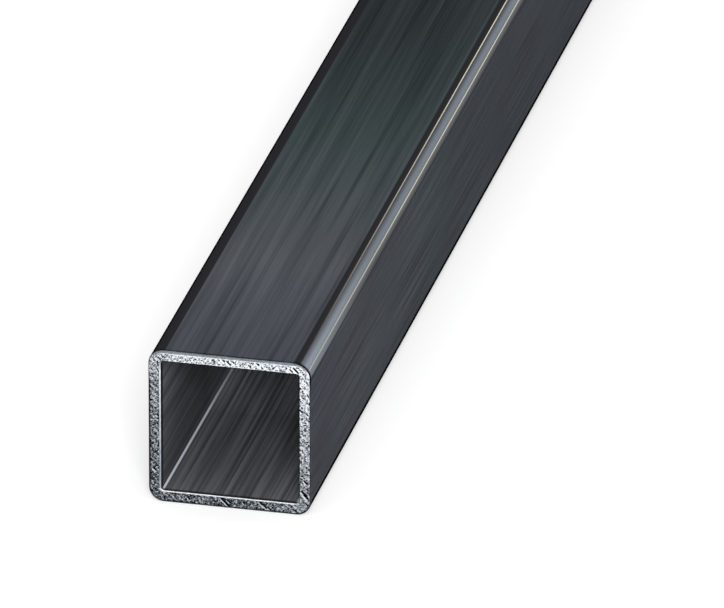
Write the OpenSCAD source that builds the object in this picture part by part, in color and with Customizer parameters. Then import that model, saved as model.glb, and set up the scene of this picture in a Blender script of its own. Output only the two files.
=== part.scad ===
// Square steel tube, roll-formed from strip, sawn square to length and lightly
// deburred. It lies along Y on the floor: the underside is at z = 0, and the
// origin is below the middle of the length. All sizes are in millimetres.

/* [Section] */
// Width and height over the outer faces
side = 40; // [25:5:100]
// Wall thickness
wall = 3; // [1.5:0.5:5]
// Inside radius of the bend at each corner
bend_radius = 0.75; // [0.5:0.25:5]

/* [Length] */
// Length between the two sawn faces
tube_length = 1000; // [100:50:6000]

/* [Sawn ends] */
// Width of the 45 degree bevel that deburring leaves on each cut edge
deburr = 0.35; // [0.1:0.05:0.5]

/* [Hidden] */
$fn = 96;

// The strip bends round one centre at each corner, so the outer radius is
// the inside one plus the wall.
outer_radius = bend_radius + wall;
// Flat part of one side, between two bends
flat = side - 2 * outer_radius;
quarter_turn = 90;

// The wall cut lengthwise: x runs from its inner surface to its outer one,
// y along the tube. The four small corners are the deburred edges.
module wall_strip() {
    end = tube_length / 2;
    polygon([
        [0, -end + deburr], [deburr, -end],
        [wall - deburr, -end], [wall, -end + deburr],
        [wall, end - deburr], [wall - deburr, end],
        [deburr, end], [0, end - deburr]
    ]);
}

// One flat side of the section, standing along Z
module flat_side() {
    translate([side / 2 - wall, flat / 2, 0])
        rotate([quarter_turn, 0, 0])
            linear_extrude(height = flat)
                wall_strip();
}

// One rounded corner of the section, standing along Z
module bent_corner() {
    translate([flat / 2, flat / 2, 0])
        rotate_extrude(angle = quarter_turn)
            translate([bend_radius, 0])
                wall_strip();
}

// The whole tube: a side and a bend, four times round, then laid along Y
module square_tube() {
    color([0.27, 0.28, 0.30])
        translate([0, 0, side / 2])
            rotate([-quarter_turn, 0, 0])
                for (turn = [0 : 3])
                    rotate([0, 0, turn * quarter_turn]) {
                        flat_side();
                        bent_corner();
                    }
}

square_tube();
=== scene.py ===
"""A length of square steel tube, roll-formed from strip and sawn to length, lying in a plain studio.

The tube lies along Y with its underside on the floor at z = 0. Sizes are in metres.
"""

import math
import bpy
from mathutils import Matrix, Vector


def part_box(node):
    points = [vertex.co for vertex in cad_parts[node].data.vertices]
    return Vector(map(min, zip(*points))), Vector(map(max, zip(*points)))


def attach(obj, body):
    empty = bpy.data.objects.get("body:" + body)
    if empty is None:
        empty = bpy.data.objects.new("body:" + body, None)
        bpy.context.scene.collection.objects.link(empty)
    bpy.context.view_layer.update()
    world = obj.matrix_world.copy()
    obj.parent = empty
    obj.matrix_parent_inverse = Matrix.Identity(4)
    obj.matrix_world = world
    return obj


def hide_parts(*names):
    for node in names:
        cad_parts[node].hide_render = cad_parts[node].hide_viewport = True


bl_info = {
    "name": "Square Steel Tube",
    "version": (1, 0, 0),
    "blender": (4, 5, 0),
    "location": "3D View > Sidebar > Tube",
    "description": "Builds a length of square steel tube with sawn ends, and a studio to see it in",
    "category": "Object",
}

from collections import namedtuple

import bmesh
import bpy
from bpy.props import FloatProperty, FloatVectorProperty, IntProperty, PointerProperty
from mathutils import Vector, noise

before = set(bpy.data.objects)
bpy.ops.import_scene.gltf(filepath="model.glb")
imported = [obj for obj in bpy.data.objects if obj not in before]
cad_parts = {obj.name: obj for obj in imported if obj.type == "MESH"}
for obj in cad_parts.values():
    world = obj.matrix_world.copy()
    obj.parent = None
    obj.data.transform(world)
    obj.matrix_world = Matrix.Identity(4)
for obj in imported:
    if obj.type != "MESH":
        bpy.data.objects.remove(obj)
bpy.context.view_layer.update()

MM = 0.001
CAD_NODE = "square_tube"
LOW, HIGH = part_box(CAD_NODE)
SIDE = HIGH.x - LOW.x
LENGTH = HIGH.y - LOW.y
MIDDLE = (LOW + HIGH) / 2
NEAR_FACE = Vector((MIDDLE.x, LOW.y, MIDDLE.z))
SIDES = 4
QUARTER = math.pi / 2
NEAR, FAR = -1, 1
WHITE, BLACK = (1, 1, 1), (0, 0, 0)
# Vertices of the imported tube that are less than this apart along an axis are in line
IN_LINE = 0.01 * MM

# Order of the material slots on the tube's mesh
OUTER_SKIN, INNER_SKIN, SAWN_FACE, DEBURRED_EDGE = range(4)
# Point attribute that holds how deep the saw has torn the cut face, from 0 to 1
TORN = "torn"


def cad_section():
    """Wall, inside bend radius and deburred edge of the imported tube, read from its vertices.

    None lies on a flat side between two bends, so the one nearest the middle is where a bend starts."""
    spots = [vertex.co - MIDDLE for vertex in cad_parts[CAD_NODE].data.vertices]
    bend_start = min(abs(spot.x) for spot in spots)
    bore = min(abs(spot.z) for spot in spots if abs(spot.x) - bend_start < IN_LINE)
    wall = SIDE / 2 - bore
    return wall, SIDE / 2 - bend_start - wall, LENGTH / 2 - min(abs(spot.y) for spot in spots)


WALL, BEND_RADIUS, DEBURR = cad_section()
OUTER_RADIUS = WALL + BEND_RADIUS
FLAT = SIDE - 2 * OUTER_RADIUS


def linear(colour):
    """The linear red, green and blue of an sRGB colour such as #3D4347."""
    parts = [int(colour[i : i + 2], 16) / 255 for i in (1, 3, 5)]
    return tuple(c / 12.92 if c <= 0.04045 else ((c + 0.055) / 1.055) ** 2.4 for c in parts)


def size_setting(name, description, default):
    """A setting in metres, shown in the scene's units."""
    return FloatProperty(
        name=name, description=description, default=default, min=0, precision=5,
        subtype="DISTANCE", unit="LENGTH")


def colour_setting(name, description, default):
    """A colour setting, given as sRGB hex."""
    return FloatVectorProperty(
        name=name, description=description, default=linear(default), size=3, min=0, max=1, subtype="COLOR")


class TubeSizes(bpy.types.PropertyGroup):
    """Sizes of the sawn ends, and how finely the tube's mesh is divided."""

    deburr: size_setting("Deburred edge", "Width of the bevel that deburring leaves on a cut edge", DEBURR)
    deburr_waver: FloatProperty(
        name="Edge waver", description="Share of its width by which the deburred edge narrows in places",
        default=0.3, min=0, max=0.9, subtype="FACTOR")
    grain: size_setting("Torn grain", "Size of the grains that the saw tears out of a cut face", 0.33 * MM)
    grain_depth: size_setting("Grain depth", "Depth of the torn grains below the cut plane", 0.11 * MM)
    tooth_pitch: size_setting(
        "Saw mark pitch", "Distance along the wall between the slanting marks of the saw's teeth", 1.6 * MM)
    flat_steps: IntProperty(
        name="Steps on a flat", description="Steps across a flat side at the sawn ends", default=240, min=12)
    bend_steps: IntProperty(
        name="Steps round a bend", description="Steps round a bend at the sawn ends", default=36, min=4)
    wall_steps: IntProperty(
        name="Steps across the wall", description="Steps across a sawn face", default=20, min=2)
    length_steps: IntProperty(
        name="Steps along the tube", description="Steps between the two ends", default=25, min=1)


class TubeColours(bpy.types.PropertyGroup):
    """Colours of the tube's finishes."""

    oxide_blue: colour_setting("Blue oxide", "Mill oxide where the film is thinnest", "#51545A")
    oxide_pale: colour_setting("Pale oxide", "Mill oxide where the film is thin and grey", "#595C60")
    oxide_green: colour_setting("Green oxide", "Mill oxide where the film turns green", "#465050")
    oxide_dark: colour_setting("Dark oxide", "Mill oxide where the film is thick", "#3D4243")
    # Painted shade: the upright sides are darker than the top
    side_oxide_and_shade: colour_setting("Side oxide", "Mill oxide on the two upright sides", "#414648")
    # Painted shade: the bends are darker than the flats
    bend: colour_setting("Bend", "Where the forming rolls pressed the oxide dark and smooth", "#383839")
    # Painted shade: the dark outline along the outside of the bends
    scale: colour_setting("Black scale", "Matt scale along the outside of a bend", "#08090A")
    # Painted highlight on the top right bend: its bright strip and the bright line along each side of it
    highlighted: colour_setting("Polished strip", "The bend that has been rubbed smooth in handling", "#70767D")
    upper_highlight_line: colour_setting("Upper rub line", "Bare line along the top of the polished bend", "#E8E4CA")
    lower_highlight_line: colour_setting("Lower rub line", "Bare line along the side of the polished bend", "#EAE4C2")
    # Partly painted light: the bore is painted lighter than the outer oxide, against the shade inside
    bore: colour_setting("Bore", "The matt oxide inside the tube", "#85878C")
    bore_streak: colour_setting("Bore streak", "Dark streaks inside the tube", "#4C4E51")
    # Painted highlight: the bright line in the corners of the bore
    bore_corner_highlight: colour_setting("Bore bend", "Bare line in the corners of the bore", "#EEF4FF")
    steel: colour_setting("Cut steel", "The raised grains of a sawn face", "#F9FCFF")
    grain: colour_setting("Torn grain", "The broken grains of a sawn face", "#A6AEB8")
    pit: colour_setting("Torn pit", "The pits of a sawn face", "#24272C")
    # Painted shade: what darkens a cut towards its underside and left side
    cut_shade: colour_setting("Coolant", "What a thick film of sawing coolant lets through", "#6C7176")
    # Dirt in the deepest pits, and painted shade along edges of a cut and its bevels
    grime_and_shade: colour_setting("Grime", "Oily dirt in the deepest pits and along the edges of a cut", "#0C0D0E")
    edge: colour_setting("Deburred edge", "The front of the bevel over the top of a cut", "#747C84")
    back_edge: colour_setting("Back of the edge", "The back of the bevel along the right side", "#5E6369")
    # Painted highlight along edges of a cut and its bevels
    burr: colour_setting("Burr", "The bright line along an edge of the cut", "#F2F5F8")


class StageSettings(bpy.types.PropertyGroup):
    """The floor and the camera."""

    floor_size: FloatProperty(
        name="Floor", description="Length of one side of the floor", default=60, min=2,
        subtype="DISTANCE", unit="LENGTH")
    floor_colour: colour_setting("Floor colour", "Colour of the floor", "#F3F3F3")
    azimuth: FloatProperty(
        name="Camera azimuth", description="Turn of the camera from behind the near end to the right",
        default=math.radians(13.24), subtype="ANGLE", unit="ROTATION")
    elevation: FloatProperty(
        name="Camera elevation", description="Height of the camera over the horizon, as an angle",
        default=math.radians(24.65), subtype="ANGLE", unit="ROTATION")
    distance: FloatProperty(
        name="Camera distance", description="Depth of the near sawn face in front of the camera",
        default=4.357, subtype="DISTANCE", unit="LENGTH")
    lens: FloatProperty(
        name="Lens", description="Focal length of the camera in millimetres", default=905, min=50)


def add(tree, kind, inputs=(), stops=(), **settings):
    """Adds a shader node and returns it. inputs gives its open sockets their values, in order or by name.

    A value is a number, a vector, a colour, an output, or a node that stands for its first output. stops are
    those of a colour ramp, each a place from 0 to 1 with a colour, or with a number for that grey."""
    node = tree.nodes.new("ShaderNode" + kind)
    for name, value in settings.items():
        setattr(node, name, value)
    sockets = [socket for socket in node.inputs if socket.enabled]
    if isinstance(inputs, dict):
        named = {socket.name: socket for socket in sockets}
        sockets = [named[name] for name in inputs]
        inputs = inputs.values()
    for socket, value in zip(sockets, inputs):
        if isinstance(value, bpy.types.Node):
            value = next(output for output in value.outputs if output.enabled)
        if isinstance(value, bpy.types.NodeSocket):
            tree.links.new(value, socket)
        elif socket.type == "RGBA":
            socket.default_value = (*value, 1.0)
        else:
            socket.default_value = value
    for place, (position, colour) in enumerate(stops):
        elements = node.color_ramp.elements
        element = elements[place] if place < 2 else elements.new(position)
        element.position = position
        element.color = (*((colour,) * 3 if isinstance(colour, (int, float)) else colour), 1.0)
    return node


def new_material(name):
    """An empty node material, and its tree."""
    material = bpy.data.materials.new(name)
    material.use_nodes = True
    material.node_tree.nodes.clear()
    return material, material.node_tree


Spot = namedtuple("Spot", "place right up along inset depth bend round")
# Angles that bend runs over, in degrees: 0 where the top or underside ends, 90 where an upright side begins
BEND_LOW, BEND_HIGH = -30, 120


def bend_stops(*stops):
    """Stops of a ramp over bend, given by their angles round a bend."""
    return [((angle - BEND_LOW) / (BEND_HIGH - BEND_LOW), value) for angle, value in stops]


def round_stops(*stops):
    """Stops of a ramp over round, given by their angles in degrees: 0 is the top, and 90 the right side."""
    return [((angle + 180) / 360, value) for angle, value in stops]


def tube_spot(tree):
    """Where a point of the surface is on the tube, as nodes and outputs.

    place is in metres. right, up and along run from the middle of the tube. inset is the distance from the
    nearer cut, and depth the distance under the outer skin. bend is how far round the nearest bend it is,
    and round how far round the section: 0.5 at the top, and more to the right of it."""
    place = add(tree, "TexCoord").outputs["Object"]
    centred = add(tree, "VectorMath", [place, -MIDDLE], operation="ADD")
    sides = add(tree, "SeparateXYZ", [centred]).outputs
    sizes = add(tree, "VectorMath", [centred], operation="ABSOLUTE")
    past = add(tree, "VectorMath", [sizes, (-FLAT / 2, -LENGTH / 2, -FLAT / 2)], operation="ADD")
    parts = add(tree, "SeparateXYZ", [past]).outputs
    inset = add(tree, "Math", [parts["Y"], -1.0], operation="MULTIPLY")
    bent = add(tree, "VectorMath", [past, (0, 0, 0)], operation="MAXIMUM")
    radius = add(tree, "VectorMath", [bent], operation="LENGTH")
    depth = add(tree, "Math", [OUTER_RADIUS, radius], operation="SUBTRACT")
    angle = add(tree, "Math", [parts["X"], parts["Z"]], operation="ARCTAN2")
    bend = add(tree, "MapRange", {
        "Value": angle, "From Min": math.radians(BEND_LOW), "From Max": math.radians(BEND_HIGH)})
    turn = add(tree, "Math", [sides["X"], sides["Z"]], operation="ARCTAN2")
    around = add(tree, "MapRange", {"Value": turn, "From Min": -math.pi, "From Max": math.pi})
    return Spot(place, sides["X"], sides["Z"], sides["Y"], inset, depth, bend, around)


def streaks(tree, place, width, length, detail=3.0):
    """Soft streaks along Y, from 0 to 1. width and length are a streak's real size."""
    scaled = add(tree, "Mapping", {"Vector": place, "Scale": (1 / width, 1 / length, 1 / width)})
    return add(tree, "TexNoise", {"Vector": scaled, "Scale": 1.0, "Detail": detail, "Roughness": 0.55})


def behind_cut(tree, spot, reach, *stops):
    """A shade on the skin behind a cut, as far in as reach. stops give it by distances from the cut."""
    share = add(tree, "MapRange", {"Value": spot.inset, "From Max": reach})
    return add(tree, "ValToRGB", [share], stops=[(distance / reach, shade) for distance, shade in stops])


# How thin the oxide film is, from 0 to 1: its base, what broad patches add to it, and its waves along the
# tube, each a length with a strength. The waves start together at the near end, and their lengths differ so
# much that the drift doesn't repeat over the tube. The waves are partly tint and partly painted shade: they
# make the top lighter at the near end than further along.
FILM_BASE, FILM_PATCHES = 0.29, 0.18
FILM_AND_SHADE_WAVES = ((440 * MM, 0.22), (710 * MM, 0.26))
# Values between which nearly all streaks of the outer skin lie
DARK_STREAK, BRIGHT_STREAK = 0.3, 0.7


def film_tint(tree, spot, colours):
    """The tint of the oxide film. Where it gets thinner it goes from dark through green and grey to blue."""
    film = streaks(tree, spot.place, width=40 * MM, length=240 * MM, detail=1.0)
    film = add(tree, "Math", [film, FILM_PATCHES, FILM_BASE], operation="MULTIPLY_ADD")
    # Partly painted shade: these waves darken the top away from the near end
    for length, strength in FILM_AND_SHADE_WAVES:
        per_metre = 2 * math.pi / length
        phase = add(tree, "Math", [spot.along, per_metre, per_metre * LENGTH / 2], operation="MULTIPLY_ADD")
        wave = add(tree, "Math", [phase], operation="COSINE")
        film = add(tree, "Math", [wave, strength, film], operation="MULTIPLY_ADD")
    return add(tree, "ValToRGB", [film], stops=[
        (0.12, colours.oxide_dark), (0.41, colours.oxide_green), (0.76, colours.oxide_pale),
        (0.9, colours.oxide_blue)])


def streaked_oxide(tree, spot, colours, flat_streaks, side_streaks):
    """The oxide's colour away from the bends.

    The two upright sides are more streaked, and are painted darker as painted shade.
    """
    # 0 on the top and the underside, and 1 on the two sides
    upright = add(tree, "ValToRGB", [spot.bend], stops=bend_stops((0, 0), (90, 1)))
    flat_tint = film_tint(tree, spot, colours)
    # Painted shade on the two upright sides
    shaded_side_tint = add(tree, "Mix", {"Factor": 0.6, "A": flat_tint, "B": colours.side_oxide_and_shade}, data_type="RGBA")
    tint = add(tree, "Mix", [upright, flat_tint, shaded_side_tint], data_type="RGBA")
    flat_shade = add(tree, "ValToRGB", [flat_streaks], stops=[(DARK_STREAK, 0.6), (BRIGHT_STREAK, 1.42)])
    side_shade = add(tree, "ValToRGB", [side_streaks], stops=[(0.38, 0.54), (0.62, 1.45)])
    shade = add(tree, "Mix", [upright, flat_shade, side_shade], data_type="RGBA")
    return add(tree, "Mix", [1.0, tint, shade], data_type="RGBA", blend_type="MULTIPLY")


def outline_shade_line(tree, spot, on_top, highlight_bend_mask):
    """1 where a dark outline is painted along the outside of a bend as painted shade, and 0 elsewhere.

    on_top is 1 over the upper half of the tube, and the last mask is 1 over the top right bend, which has a
    painted highlight and no outline."""
    upper = add(tree, "ValToRGB", [spot.bend], stops=bend_stops(
        (14, 0), (24, 0.3), (33, 0.5), (38, 1), (66, 1), (74, 0)))
    lower = add(tree, "ValToRGB", [spot.bend], stops=bend_stops((56, 0), (62, 1), (91, 1), (95, 0)))
    line = add(tree, "Mix", [on_top, lower, upper], data_type="RGBA")
    return add(tree, "Mix", [highlight_bend_mask, line, BLACK], data_type="RGBA")


def painted_highlight_strip(tree, spot, past_mouth):
    """How far the painted highlight covers the bend, from 0 to 1.

    The mask it is given is 0 near the mouth and 1 further in."""
    # The first four stops are a faint painted highlight on the top, beside the bend
    strip = add(tree, "ValToRGB", [spot.bend], stops=bend_stops(
        (-18, 0), (-15.5, 0.17), (-13, 0.17), (-10, 0), (16, 0), (20, 0.3), (31, 0.43), (45, 0.83), (53, 1),
        (62, 0.9), (69, 0.7), (77, 0.46), (90, 0)))
    # Near the mouth, the painted highlight covers the side of the bend as well
    near_mouth = add(tree, "Math", [1.0, past_mouth], operation="SUBTRACT")
    side = add(tree, "ValToRGB", [spot.bend], stops=bend_stops((58, 0), (62, 1), (83, 1), (89, 0)))
    side = add(tree, "Math", [side, near_mouth], operation="MULTIPLY")
    strip = add(tree, "Math", [strip, side], operation="MAXIMUM")
    # Further in, the painted highlight leaves out a line just under the upper bright line
    left = add(tree, "ValToRGB", [spot.bend], stops=bend_stops((18, 0), (21, 0.4), (26, 0.35), (31, 0)))
    left = add(tree, "Math", [left, past_mouth], operation="MULTIPLY")
    return add(tree, "Mix", {"Factor": left, "A": strip, "B": 0.0})


def highlighted_bend(tree, spot, colours, unbrightened, flat_streaks):
    """The top right bend's colour, with a painted highlight: a bright strip and a bright line on each side.
    """
    past_mouth = add(tree, "MapRange", {"Value": spot.inset, "From Min": 15 * MM, "From Max": 110 * MM})
    strip = painted_highlight_strip(tree, spot, past_mouth)
    # The painted highlight is brighter towards the mouth, and shows the streaks of the flats faintly
    gloss = add(tree, "MapRange", {
        "Value": spot.inset, "From Max": 70 * MM, "To Min": 1.45, "To Max": 1.0})
    streak = add(tree, "MapRange", {
        "Value": flat_streaks, "From Min": DARK_STREAK, "From Max": BRIGHT_STREAK,
        "To Min": 0.86, "To Max": 1.14})
    gloss = add(tree, "Math", [gloss, streak], operation="MULTIPLY")
    highlight_tint = add(tree, "Mix", [1.0, colours.highlighted, gloss], data_type="RGBA", blend_type="MULTIPLY")
    brightened = add(tree, "Mix", [strip, unbrightened, highlight_tint], data_type="RGBA")
    # Both lines fade towards the mouth
    upper = add(tree, "ValToRGB", [spot.bend], stops=bend_stops(
        (15.4, 0), (17.6, 0.88), (18.4, 0.88), (20.6, 0)))
    strength = add(tree, "MapRange", {"Value": spot.inset, "From Min": 15 * MM, "From Max": 175 * MM})
    upper = add(tree, "Math", [upper, strength], operation="MULTIPLY")
    brightened = add(tree, "Mix", [upper, brightened, colours.upper_highlight_line], data_type="RGBA")
    lower = add(tree, "ValToRGB", [spot.bend], stops=bend_stops(
        (56.5, 0), (58.3, 0.88), (60, 0.88), (61.8, 0.05), (72, 0.06), (84, 0)))
    strength = add(tree, "MapRange", {"Value": past_mouth, "To Min": 0.6, "To Max": 1.0})
    lower = add(tree, "Math", [lower, strength], operation="MULTIPLY")
    return add(tree, "Mix", [lower, brightened, colours.lower_highlight_line], data_type="RGBA")


def mill_oxide_steel(colours):
    """Carbon steel strip as it leaves the forming rolls, under its thin hot-rolled oxide.

    To the eye that is a dark half-gloss metal with soft streaks along the tube. The film's tint drifts from
    blue-grey to green along the top, and with painted shade the top darkens away from the near end. The
    bends and the upright sides are painted darker as painted shade, and a dark outline is painted along the
    outside of each bend as painted shade. The top right bend has no outline and carries a painted highlight
    instead."""
    material, tree = new_material("mill_oxide_steel")
    spot = tube_spot(tree)
    broad = streaks(tree, spot.place, width=1.8 * MM, length=120 * MM)
    fine = streaks(tree, spot.place, width=0.5 * MM, length=60 * MM)
    flat_streaks = add(tree, "Mix", {"Factor": 0.35, "A": broad, "B": fine})
    side_streaks = add(tree, "Mix", {"Factor": 0.75, "A": broad, "B": fine})
    oxide = streaked_oxide(tree, spot, colours, flat_streaks, side_streaks)

    # Painted shade: the bends are painted darker than the flats
    darkened = add(tree, "ValToRGB", [spot.bend], stops=bend_stops((-7, 0), (-5.5, 1), (90, 1), (97, 0)))
    bent = add(tree, "Mix", [darkened, oxide, colours.bend], data_type="RGBA")
    # The top right bend carries a painted highlight in place of the painted dark outline
    on_right = add(tree, "Math", [spot.right, 0.0], operation="GREATER_THAN")
    on_top = add(tree, "Math", [spot.up, 0.0], operation="GREATER_THAN")
    highlight_bend_mask = add(tree, "Math", [on_right, on_top], operation="MULTIPLY")
    # Painted shade: a dark outline along the outside of every bend but the top right one
    outline_shade_mask = outline_shade_line(tree, spot, on_top, highlight_bend_mask)
    scaled = add(tree, "Mix", [outline_shade_mask, bent, colours.scale], data_type="RGBA")
    brightened = highlighted_bend(tree, spot, colours, scaled, flat_streaks)
    skin = add(tree, "Mix", [highlight_bend_mask, scaled, brightened], data_type="RGBA")
    # Painted shade: a dark line on the skin just behind each cut
    cut_line = behind_cut(tree, spot, 2 * MM, (0.6 * MM, 0.6), (0.9 * MM, 1))
    colour = add(tree, "Mix", [1.0, skin, cut_line], data_type="RGBA", blend_type="MULTIPLY")

    # The painted dark outline is no metal, and is matt. The specular tint keeps the metal dark at a slant.
    metal = add(tree, "Math", [1.0, outline_shade_mask], operation="SUBTRACT")
    roughness = add(tree, "MapRange", {
        "Value": flat_streaks, "From Min": DARK_STREAK, "From Max": BRIGHT_STREAK,
        "To Min": 0.34, "To Max": 0.44})
    relief = add(tree, "Bump", {"Height": flat_streaks, "Strength": 0.25, "Distance": 0.05 * MM})
    shader = add(tree, "BsdfPrincipled", {
        "Base Color": colour, "Metallic": metal, "Roughness": roughness, "Specular IOR Level": 0.0,
        "Specular Tint": (0.38, 0.38, 0.4), "Normal": relief})
    add(tree, "OutputMaterial", [shader])
    return material


def bore_oxide_steel(colours):
    """The inside of the tube: the same oxide, never touched by the rolls, and dusty. It is also painted
    lighter than the outside as painted light against the shade in the bore.

    To the eye it is matt and streaked, with a painted highlight as a bright line in each corner, where the
    strip was bent round."""
    material, tree = new_material("bore_oxide_steel")
    spot = tube_spot(tree)
    broad = streaks(tree, spot.place, width=0.95 * MM, length=110 * MM)
    fine = streaks(tree, spot.place, width=0.6 * MM, length=60 * MM)
    both = add(tree, "Mix", {"Factor": 0.3, "A": broad, "B": fine})
    streaked = add(tree, "ValToRGB", [both], stops=[(0.4, colours.bore_streak), (0.6, colours.bore)])
    # Painted light: from 46 mm to 80 mm in from the cut, the oxide is painted up to 3.5 times lighter,
    # against the shade deeper in the bore
    depth_light = add(tree, "MapRange", {
        "Value": spot.inset, "From Min": 46 * MM, "From Max": 80 * MM, "To Min": 1.0, "To Max": 3.5})
    # Painted shade: the foot of each upright wall is painted darker, towards the lower corners
    foot_shade = add(tree, "MapRange", {
        "Value": spot.up, "From Min": -14 * MM, "From Max": -2 * MM, "To Min": 0.55, "To Max": 1.05})
    upright = add(tree, "ValToRGB", [spot.bend], stops=bend_stops((40, 0), (60, 1)))
    foot_shade = add(tree, "Mix", {"Factor": upright, "A": 1.0, "B": foot_shade})
    depth_light = add(tree, "Math", [depth_light, foot_shade], operation="MULTIPLY")
    oxide = add(tree, "Mix", [1.0, streaked, depth_light], data_type="RGBA", blend_type="MULTIPLY")
    # Painted highlight: a bright line in each corner of the bore
    corner_highlight = add(tree, "ValToRGB", [spot.bend], stops=bend_stops((0, 0), (8, 1), (40, 1), (51, 0)))
    bent = add(tree, "Mix", [corner_highlight, oxide, colours.bore_corner_highlight], data_type="RGBA")
    # The painted corner highlight is matt and without metal, as a mirror there would only show the dark bore
    metal = add(tree, "Mix", {"Factor": corner_highlight, "A": 0.25, "B": 0.0})
    # Painted shade: a dark line behind the cut, further in on the upright walls of the bore than on its
    # floor and roof
    floor_line = behind_cut(tree, spot, 3 * MM, (0.9 * MM, 0.2), (1.5 * MM, 1))
    wall_line = behind_cut(tree, spot, 3 * MM, (2.16 * MM, 0.03), (2.58 * MM, 1))
    cut_line = add(tree, "Mix", [upright, floor_line, wall_line], data_type="RGBA")
    colour = add(tree, "Mix", [1.0, bent, cut_line], data_type="RGBA", blend_type="MULTIPLY")
    shader = add(tree, "BsdfPrincipled", {"Base Color": colour, "Metallic": metal, "Roughness": 0.5})
    add(tree, "OutputMaterial", [shader])
    return material


def cut_edges(tree, spot, colours, cut):
    """The colour of a cut, with painted highlights and painted shade along its edges."""
    # On the upper side a band of the bevel's colour runs along the outer edge and ends in a painted
    # highlight, and another painted highlight runs along the bore. Their places are shares of the wall.
    across = add(tree, "Math", [spot.depth, WALL], operation="DIVIDE")
    rim = add(tree, "ValToRGB", [across], stops=[(0.245, colours.edge), (0.26, colours.burr)])
    on_rim = add(tree, "ValToRGB", [across], stops=[
        (0.24, 0.85), (0.26, 0.6), (0.31, 0.6), (0.34, 0), (0.84, 0), (0.87, 0.4)])
    upper_side = add(tree, "ValToRGB", [spot.round], stops=round_stops((-48, 0), (-42, 1), (42, 1), (48, 0)))
    on_rim = add(tree, "Math", [on_rim, upper_side], operation="MULTIPLY")
    with_rim = add(tree, "Mix", [on_rim, cut, rim], data_type="RGBA")
    # How far the painted shade reaches over the outer edge of the left side and the underside, and how
    # softly it ends, as shares of the wall
    shade_reach, softness = 0.182, 0.02
    reach = add(tree, "ValToRGB", [spot.round], stops=round_stops(
        (-180, shade_reach), (-60, shade_reach), (-50, 0), (128, 0), (138, shade_reach)))
    within = add(tree, "Math", [reach, across], operation="SUBTRACT")
    on_edge_shade = add(tree, "MapRange", {
        "Value": within, "From Min": -softness, "From Max": softness, "To Max": 0.85})
    return add(tree, "Mix", [on_edge_shade, with_rim, colours.grime_and_shade], data_type="RGBA")


def sawn_steel(colours):
    """Steel fresh from a band saw, torn rather than cut.

    To the eye it is a crowd of bright grains and dark pits. Painted shade darkens the cut towards the
    underside and the left side, and least the upper side. Along the edges of the upper side runs a painted
    highlight, and painted shade runs along the outer edge of the left side and the underside."""
    material, tree = new_material("sawn_steel")
    spot = tube_spot(tree)
    torn = add(tree, "Attribute", attribute_name=TORN).outputs["Fac"]
    specks = add(tree, "TexNoise", {
        "Vector": spot.place, "Scale": 1 / (0.25 * MM), "Detail": 3.0, "Roughness": 0.75})
    rough = add(tree, "Mix", {"Factor": 0.55, "A": torn, "B": specks})
    grains = add(tree, "ValToRGB", [rough], stops=[
        (0.385, colours.steel), (0.45, colours.grain), (0.49, colours.grain), (0.56, colours.pit),
        (0.67, colours.grime_and_shade)])
    # Painted shade over the cut: none on the upper side, darkest on the underside and the left side
    cut_shade_share = add(tree, "ValToRGB", [spot.round], stops=round_stops(
        (-180, 1), (-110, 0.97), (-60, 0.84), (-45, 0.56), (-37, 0.22), (0, 0), (45, 0.09),
        (70, 0.28), (110, 0.62), (135, 0.82), (150, 0.97), (180, 1)))
    # The painted shade is lighter over the grains that stand up
    shade_cover = add(tree, "MapRange", {"Value": rough, "From Min": 0.27, "From Max": 0.37, "To Min": 0.28})
    cut_shade_share = add(tree, "Math", [cut_shade_share, shade_cover], operation="MULTIPLY")
    film = add(tree, "Mix", [cut_shade_share, WHITE, colours.cut_shade], data_type="RGBA")
    cut = add(tree, "Mix", [1.0, grains, film], data_type="RGBA", blend_type="MULTIPLY")
    colour = cut_edges(tree, spot, colours, cut)
    shader = add(tree, "BsdfPrincipled", {"Base Color": colour, "Metallic": 1.0, "Roughness": 0.32})
    add(tree, "OutputMaterial", [shader])
    return material


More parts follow.
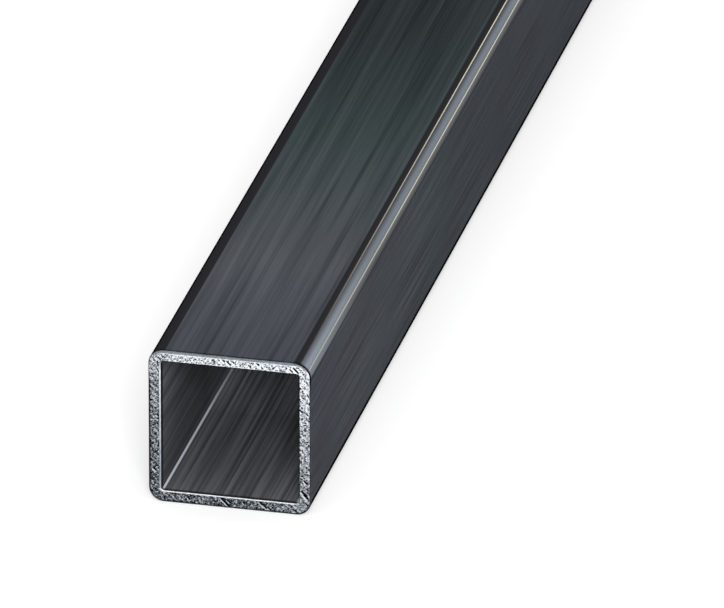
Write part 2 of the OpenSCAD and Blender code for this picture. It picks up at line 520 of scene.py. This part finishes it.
def deburred_steel(colours):
    """The bevel that a deburring wheel leaves on a cut edge: bare steel with the wheel's faint marks.

    To the eye it is a thin grey line along the top and along the back of the right side. It has a painted
    highlight along the left and the bottom of the bore, and is painted black as painted shade elsewhere."""
    material, tree = new_material("deburred_steel")
    spot = tube_spot(tree)
    # Painted shade: the outer bevel is black except along the top and the back of the right side
    outer_front = add(tree, "ValToRGB", [spot.round], stops=round_stops(
        (-180, colours.grime_and_shade), (-60, colours.grime_and_shade), (-45, colours.edge), (37, colours.edge),
        (41, colours.grime_and_shade)))
    outer_back = add(tree, "ValToRGB", [spot.round], stops=round_stops(
        (-180, colours.grime_and_shade), (52, colours.grime_and_shade), (60, colours.back_edge), (130, colours.back_edge),
        (140, colours.grime_and_shade)))
    # Painted highlight along the left and the bottom of the bore, painted shade elsewhere
    inner_front = add(tree, "ValToRGB", [spot.round], stops=round_stops(
        (-180, colours.burr), (-138, colours.burr), (-128, colours.grain), (-50, colours.burr),
        (-43, colours.grime_and_shade), (130, colours.grime_and_shade), (138, colours.burr)))
    inner_back = add(tree, "ValToRGB", [spot.round], stops=round_stops(
        (-180, colours.grime_and_shade), (-142, colours.grime_and_shade), (-128, colours.grain), (-50, colours.burr),
        (-43, colours.grime_and_shade)))
    inside = add(tree, "Math", [spot.depth, WALL / 2], operation="GREATER_THAN")
    front = add(tree, "Mix", [inside, outer_front, inner_front], data_type="RGBA")
    back = add(tree, "Mix", [inside, outer_back, inner_back], data_type="RGBA")
    # The back of a bevel is the part that lies this share of its width or more behind the cut
    back_share = 0.6
    in_back = add(tree, "Math", [spot.inset, back_share * DEBURR], operation="GREATER_THAN")
    edge = add(tree, "Mix", [in_back, front, back], data_type="RGBA")
    marks = add(tree, "TexNoise", {"Vector": spot.place, "Scale": 1 / (0.8 * MM), "Detail": 2.0})
    shade = add(tree, "ValToRGB", [marks], stops=[(0.35, 0.75), (0.6, 1)])
    colour = add(tree, "Mix", [1.0, edge, shade], data_type="RGBA", blend_type="MULTIPLY")
    shader = add(tree, "BsdfPrincipled", {"Base Color": colour, "Metallic": 1.0, "Roughness": 0.35})
    add(tree, "OutputMaterial", [shader])
    return material


# A ring of the surface, once round the section. It lies depth + deburr_depth x deburr under the outer skin,
# and inset + deburr_inset x deburr short of the end. finish is that of the strip from it to the next ring,
# across its share of the way over a cut on the bake's map, and a fine ring has every station.
Ring = namedtuple(
    "Ring", "end depth finish inset deburr_depth deburr_inset across fine", defaults=(0, 0, 0, 0, False))
# A place round the section. anchor lies the outer radius under the outer skin there, out points out of the
# wall, and round is the share of the way round. Every ring has the kept stations.
Station = namedtuple("Station", "anchor out round kept")
# Steps at the sawn ends that one step of a skin takes up, on a flat and round a bend
FLAT_MERGE, BEND_MERGE = 12, 2
# How far behind a cut the skin's own coarser mesh begins
SETTLE = 1.2 * MM
# Share of the way over a cut that the bake's map gives to each bevel
MAP_BEVEL = 0.12


def skin_rings(depth, way, steps, finish):
    """The rings of a skin at that depth under the outside, in order towards the NEAR or the FAR end."""
    half = LENGTH / 2 - SETTLE
    ys = [way * half * (2 * step / steps - 1) for step in range(steps + 1)]
    return [Ring(FAR, depth, finish, inset=LENGTH / 2 - y) for y in ys]


def cut_rings(end, steps, next_skin):
    """The rings over a cut and its two bevels, from the outside in."""
    rings = [Ring(end, 0, DEBURRED_EDGE, deburr_inset=1, fine=True)]
    for step in range(steps + 1):
        share = step / steps
        finish = SAWN_FACE if step < steps else DEBURRED_EDGE
        across = MAP_BEVEL + (1 - 2 * MAP_BEVEL) * share
        rings.append(Ring(end, share * WALL, finish, deburr_depth=1 - 2 * share, across=across, fine=True))
    return rings + [Ring(end, WALL, next_skin, deburr_inset=1, across=1, fine=True)]


def tube_rings(sizes):
    """The rings that the surface is stretched over, once round the outline of the wall cut lengthwise.

    They run out along the outside, over the far cut, back along the bore and over the near cut."""
    outside = skin_rings(0, FAR, sizes.length_steps, OUTER_SKIN)
    far = cut_rings(FAR, sizes.wall_steps, INNER_SKIN)
    inside = skin_rings(WALL, NEAR, sizes.length_steps, INNER_SKIN)
    # The near cut is crossed from the inside out, so each of its strips starts at its inner ring
    near = cut_rings(NEAR, sizes.wall_steps, OUTER_SKIN)[::-1]
    finishes = [DEBURRED_EDGE] + [SAWN_FACE] * sizes.wall_steps + [DEBURRED_EDGE, OUTER_SKIN]
    near = [ring._replace(finish=finish) for ring, finish in zip(near, finishes)]
    return outside + far + inside + near


def section_stations(sizes):
    """The places round the section, clockwise as seen from the near end, from the right of the underside."""
    flat_step = FLAT / sizes.flat_steps
    # The way round a bend is measured along the middle of the wall
    bend_step = (BEND_RADIUS + WALL / 2) * QUARTER / sizes.bend_steps
    stations = []
    travelled = 0.0
    for side in range(SIDES):
        turn = side * QUARTER
        for step in range(sizes.flat_steps + sizes.bend_steps):
            bend = max(0, step - sizes.flat_steps)
            slide = FLAT * (min(step, sizes.flat_steps) / sizes.flat_steps - 0.5)
            anchor = Vector((
                -slide * math.cos(turn) - FLAT / 2 * math.sin(turn),
                slide * math.sin(turn) - FLAT / 2 * math.cos(turn)))
            angle = turn + QUARTER * bend / sizes.bend_steps
            out = Vector((-math.sin(angle), -math.cos(angle)))
            kept = bend % BEND_MERGE == 0 if bend else step % FLAT_MERGE == 0
            stations.append(Station(anchor, out, travelled, kept))
            travelled += flat_step if step < sizes.flat_steps else bend_step
    return [station._replace(round=station.round / travelled) for station in stations]


# Gouges that chips under the saw left on each cut: across and up from the middle of the section, length and
# width, in millimetres
GOUGES = [
    (-1.5, 18.9, 1.6, 0.26), (-0.2, 18.3, 1.8, 0.26), (7.0, 18.7, 1.2, 0.22), (15.2, 17.9, 1.4, 0.22),
    (16.3, 18.1, 2.4, 0.28), (-1.2, -18.4, 4.0, 0.28), (-0.2, -18.2, 1.6, 0.22), (8.0, -18.1, 2.4, 0.28),
    (8.7, -18.6, 1.6, 0.24), (9.8, -19.1, 1.2, 0.2), (3.5, -18.2, 0.8, 0.26), (-10.1, -18.4, 1.2, 0.22),
    (18.7, -11.2, 1.6, 0.26), (18.3, -14.2, 2.4, 0.3), (18.8, -15.0, 2.0, 0.3), (17.6, 7.5, 1.4, 0.24),
    (-17.7, 2.8, 1.0, 0.26), (-18.5, -11.5, 1.2, 0.26),
]
# How far the raised lip lies below a gouge, and how wide it is, in widths of the gouge
LIP_BELOW, LIP_WIDTH = 1.5, 0.8

# What a cut's torn depth is made of: a base, the tilted grains, a finer roughness and the marks of the teeth
TORN_BASE, GRAIN_SHARE, ROUGH_SHARE, TOOTH_SHARE = 0.15, 0.5, 0.35, 0.1
# How steeply a grain tilts, and how many bumps of the roughness go over a grain
GRAIN_TILT, BUMPS_PER_GRAIN = 1.6, 2.1
# Spreads the middles of the grains out, so that each has a tilt of its own
TILT_SPREAD = 7.3
# Length of a waver of the deburred edge
WAVER_LENGTH = 4 * MM
# Keep the two ends apart in the noise that tears the cut and in the noise that makes the edge waver
TORN_APART, WAVER_APART = 50 * MM, 20 * MM


def gouged(spot, depth):
    """A cut's torn depth there, from 0 to 1, once chips have gouged it and raised a lip below each gouge.

    The gouges run down to the right."""
    for right, up, length, width in GOUGES:
        away = spot - Vector((right, up)) * MM
        along, across = (away.x - away.y) / math.sqrt(2), (away.x + away.y) / math.sqrt(2) / (width * MM)
        reach = max(0.0, 1 - (2 * along / (length * MM)) ** 4)
        depth *= 1 - reach * math.exp(-(((across + LIP_BELOW) / LIP_WIDTH) ** 4))
        depth = max(depth, reach * math.exp(-(across**4)))
    return depth


def torn_depth(spot, end, sizes):
    """How deep the saw has torn the cut there, from 0 to 1."""
    point = Vector((spot.x, spot.y, TORN_APART * end)) / sizes.grain
    middle = noise.voronoi(point)[1][0]
    tilt = noise.cell_vector(middle * TILT_SPREAD) - Vector((0.5, 0.5, 0.0))
    grain = tilt.z + GRAIN_TILT * tilt.dot(point - middle)
    rough = noise.noise(point * BUMPS_PER_GRAIN)
    tooth = math.sin(2 * math.pi * (spot.x + spot.y) / sizes.tooth_pitch)
    depth = TORN_BASE + GRAIN_SHARE * grain + ROUGH_SHARE * rough + TOOTH_SHARE * tooth
    return gouged(spot, min(1.0, max(0.0, depth)))


def ring_vertex(ring, station, sizes):
    """Where a ring's vertex at a station is, and how deep it is torn."""
    rim = station.anchor + station.out * OUTER_RADIUS
    waver = noise.noise(Vector((rim.x, rim.y, WAVER_APART * ring.end)) / WAVER_LENGTH)
    deburr = sizes.deburr * (1 - sizes.deburr_waver * (0.5 + 0.5 * waver))
    spot = station.anchor + station.out * (OUTER_RADIUS - ring.depth - ring.deburr_depth * deburr)
    inset = ring.inset + ring.deburr_inset * deburr
    torn = 0.0
    if inset == 0:
        torn = torn_depth(spot, ring.end, sizes)
        inset = torn * sizes.grain_depth
    return MIDDLE + Vector((spot.x, ring.end * (LENGTH / 2 - inset), spot.y)), torn


# The bake's square map. Its height is shared by the two skins, laid along the map, and by the lower left
# and the upper right half of each sawn end, stretched over its width. Each has its lowest and highest place.
MAP_NAME = "OFBake"
MAP_MARGIN = 0.005
MAP_SKINS = {OUTER_SKIN: (0.005, 0.465), INNER_SKIN: (0.475, 0.755)}
MAP_CUTS = {
    (NEAR, 0): (0.765, 0.815), (NEAR, 1): (0.825, 0.875),
    (FAR, 0): (0.885, 0.935), (FAR, 1): (0.945, 0.995),
}


def map_place(ring, finish, half, share):
    """Where a face's corner lies on the bake's map, at that share of the way round the section."""
    if finish in MAP_SKINS:
        low, high = MAP_SKINS[finish]
        wide = 0.5 + ring.end * (0.5 - (ring.inset + ring.deburr_inset * DEBURR) / LENGTH)
        tall = share
    else:
        low, high = MAP_CUTS[ring.end, half]
        wide = 2 * share - half
        tall = ring.across
    return MAP_MARGIN + (1 - 2 * MAP_MARGIN) * wide, low + (high - low) * tall


def add_vertices(bm, ring, stations, sizes):
    """Adds a ring's vertices, and returns them by the number of their station."""
    torn_layer = bm.verts.layers.float[TORN]
    made = {}
    for number, station in enumerate(stations):
        if ring.fine or station.kept:
            place, torn = ring_vertex(ring, station, sizes)
            made[number] = bm.verts.new(place)
            made[number][torn_layer] = torn
    return made


def add_faces(bm, rings, made, shares):
    """Adds the faces between each ring and the next, and lays them on the bake's map.

    made holds each ring's vertices, and shares how far round each station is, with 1 at the end. A face
    spans two stations that both of its rings have, so that fine rings can meet coarse ones."""
    map_layer = bm.loops.layers.uv[MAP_NAME]
    count = len(shares) - 1
    for row, ring in enumerate(rings):
        after = (row + 1) % len(rings)
        common = sorted(made[row].keys() & made[after].keys()) + [count]
        for start, stop in zip(common, common[1:]):
            span = range(start, stop + 1)
            corners = [(row, number) for number in span if number % count in made[row]]
            corners += [(after, number) for number in reversed(span) if number % count in made[after]]
            face = bm.faces.new([made[line][number % count] for line, number in corners])
            face.material_index = ring.finish
            face.smooth = True
            half = 2 * start // count
            for loop, (line, number) in zip(face.loops, corners):
                loop[map_layer].uv = map_place(rings[line], ring.finish, half, shares[number])


def tube_mesh(sizes):
    """The whole tube as one closed mesh, with a finish for each face."""
    stations = section_stations(sizes)
    rings = tube_rings(sizes)
    bm = bmesh.new()
    bm.verts.layers.float.new(TORN)
    bm.loops.layers.uv.new(MAP_NAME)
    made = [add_vertices(bm, ring, stations, sizes) for ring in rings]
    add_faces(bm, rings, made, [station.round for station in stations] + [1.0])
    bmesh.ops.recalc_face_normals(bm, faces=bm.faces)
    # Two finishes always meet at a sharp edge
    for edge in bm.edges:
        edge.smooth = len({face.material_index for face in edge.link_faces}) == 1
    mesh = bpy.data.meshes.new("tube")
    bm.to_mesh(mesh)
    bm.free()
    return mesh


class TUBE_OT_build_tube(bpy.types.Operator):
    """Builds the tube with its finishes and puts it in place of the plain node"""

    bl_idname = "square_tube.build_tube"
    bl_label = "Build the tube"

    def execute(self, context):
        mesh = tube_mesh(context.scene.tube_sizes)
        tube = bpy.data.objects.new("tube", mesh)
        context.scene.collection.objects.link(tube)
        for finish in (mill_oxide_steel, bore_oxide_steel, sawn_steel, deburred_steel):
            mesh.materials.append(finish(context.scene.tube_colours))
        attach(tube, "root")
        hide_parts(CAD_NODE)
        return {"FINISHED"}


# Size of the photograph in pixels, and where in it the middle of the near sawn face is
PHOTO_WIDTH, PHOTO_HEIGHT = 724, 608
NEAR_FACE_PIXEL = (229.5, 432.8)
# Width of the camera's sensor in millimetres, as its lens is
SENSOR_WIDTH = 36.0
# Strengths where 1 is white: the world's light, the backdrop that shows, and the glow that lifts the floor
WORLD_LIGHT, BACKDROP, FLOOR_GLOW = 0.68, 1.0, 0.35

Softbox = namedtuple("Softbox", "name azimuth elevation distance width height brightness")
# Soft lamps aimed at the near end, their angles in degrees. brightness is that of a lamp's face: 1 is white.
SOFTBOXES = (
    Softbox("back_softbox", azimuth=164, elevation=15, distance=6.0, width=2.5, height=2.8, brightness=2.0),
    Softbox("front_softbox", azimuth=16, elevation=27, distance=5.0, width=1.5, height=1.5, brightness=20.0),
)


def towards(azimuth, elevation):
    """The direction of a place from the tube. Azimuth 0 is behind the near end, a quarter turn its right."""
    level = math.cos(elevation)
    return Vector((math.sin(azimuth) * level, -math.cos(azimuth) * level, math.sin(elevation)))


def aim(thing, direction):
    """Turns a camera or a lamp to face that way."""
    thing.rotation_mode = "QUATERNION"
    thing.rotation_quaternion = direction.to_track_quat("-Z", "Y")


def add_camera(scene, stage):
    """The camera, where the near sawn face falls on its place in the photograph."""
    right = Vector((math.cos(stage.azimuth), math.sin(stage.azimuth), 0))
    forward = -towards(stage.azimuth, stage.elevation)
    lens_pixels = stage.lens / SENSOR_WIDTH * PHOTO_WIDTH
    shift_right = (NEAR_FACE_PIXEL[0] - PHOTO_WIDTH / 2) * stage.distance / lens_pixels
    shift_up = (PHOTO_HEIGHT / 2 - NEAR_FACE_PIXEL[1]) * stage.distance / lens_pixels
    data = bpy.data.cameras.new("camera")
    data.sensor_width = SENSOR_WIDTH
    data.lens = stage.lens
    camera = bpy.data.objects.new("camera", data)
    camera.location = (
        NEAR_FACE - right * shift_right - right.cross(forward) * shift_up - forward * stage.distance)
    aim(camera, forward)
    scene.collection.objects.link(camera)
    scene.camera = camera


def shown_rays(tree):
    """1 for a ray from the camera or one that metal or glass sends on, 0 for one that only carries light."""
    path = add(tree, "LightPath").outputs
    seen = add(tree, "Math", [path["Is Camera Ray"], path["Is Glossy Ray"]], operation="MAXIMUM")
    return add(tree, "Math", [seen, path["Is Transmission Ray"]], operation="MAXIMUM")


def add_floor(scene, stage):
    """A plain white paper floor that keeps the tube's shadow."""
    half = stage.floor_size / 2
    bm = bmesh.new()
    bm.faces.new([bm.verts.new((x * half, y * half, 0)) for x, y in ((-1, -1), (1, -1), (1, 1), (-1, 1))])
    mesh = bpy.data.meshes.new("floor")
    bm.to_mesh(mesh)
    bm.free()
    floor = bpy.data.objects.new("floor", mesh)
    scene.collection.objects.link(floor)
    material, tree = new_material("floor_paper")
    paper = add(tree, "BsdfDiffuse", [stage.floor_colour])
    glow = add(tree, "Emission", {"Color": WHITE, "Strength": FLOOR_GLOW})
    lifted = add(tree, "AddShader", [paper, glow])
    shown = add(tree, "MixShader", [shown_rays(tree), paper, lifted])
    add(tree, "OutputMaterial", [shown])
    mesh.materials.append(material)


def add_world(scene):
    """A white studio: plain white to the eye and in the metal, and a softer light on everything."""
    world = bpy.data.worlds.new("studio")
    world.use_nodes = True
    tree = world.node_tree
    tree.nodes.clear()
    lighting = add(tree, "Background", {"Color": WHITE, "Strength": WORLD_LIGHT})
    backdrop = add(tree, "Background", {"Color": WHITE, "Strength": BACKDROP})
    mix = add(tree, "MixShader", [shown_rays(tree), lighting, backdrop])
    add(tree, "OutputWorld", [mix])
    scene.world = world


def add_softbox(scene, box):
    """A soft lamp that the camera doesn't see."""
    data = bpy.data.lights.new(box.name, "AREA")
    data.shape = "RECTANGLE"
    data.size = box.width
    data.size_y = box.height
    data.energy = box.brightness * math.pi * box.width * box.height
    lamp = bpy.data.objects.new(box.name, data)
    direction = towards(math.radians(box.azimuth), math.radians(box.elevation))
    lamp.location = NEAR_FACE + direction * box.distance
    aim(lamp, -direction)
    lamp.visible_camera = False
    scene.collection.objects.link(lamp)


class TUBE_OT_set_stage(bpy.types.Operator):
    """Adds the floor, the soft light and the camera"""

    bl_idname = "square_tube.set_stage"
    bl_label = "Set the stage"

    def execute(self, context):
        scene = context.scene
        add_floor(scene, scene.tube_stage)
        add_world(scene)
        for box in SOFTBOXES:
            add_softbox(scene, box)
        add_camera(scene, scene.tube_stage)
        scene.view_settings.view_transform = "Standard"
        return {"FINISHED"}


class TUBE_PT_panel(bpy.types.Panel):
    """Lists the steps and the values that they use"""

    bl_idname = "TUBE_PT_panel"
    bl_label = "Square steel tube"
    bl_space_type = "VIEW_3D"
    bl_region_type = "UI"
    bl_category = "Tube"

    def draw(self, context):
        for operator in OPERATORS:
            self.layout.operator(operator.bl_idname)
        for group_name in GROUPS:
            group = getattr(context.scene, group_name)
            box = self.layout.box()
            for name in group.__annotations__:
                box.prop(group, name)


GROUPS = {"tube_sizes": TubeSizes, "tube_colours": TubeColours, "tube_stage": StageSettings}
OPERATORS = (TUBE_OT_build_tube, TUBE_OT_set_stage)
CLASSES = (*GROUPS.values(), *OPERATORS, TUBE_PT_panel)


def register():
    """Registers the classes and hangs the settings on the scene."""
    for cls in CLASSES:
        bpy.utils.register_class(cls)
    for name, group in GROUPS.items():
        setattr(bpy.types.Scene, name, PointerProperty(type=group))


def unregister():
    """Takes away what register added."""
    for name in GROUPS:
        delattr(bpy.types.Scene, name)
    for cls in reversed(CLASSES):
        bpy.utils.unregister_class(cls)


def main():
    """Builds everything in order."""
    register()
    bpy.ops.square_tube.build_tube()
    bpy.ops.square_tube.set_stage()


if __name__ == "__main__":
    main()
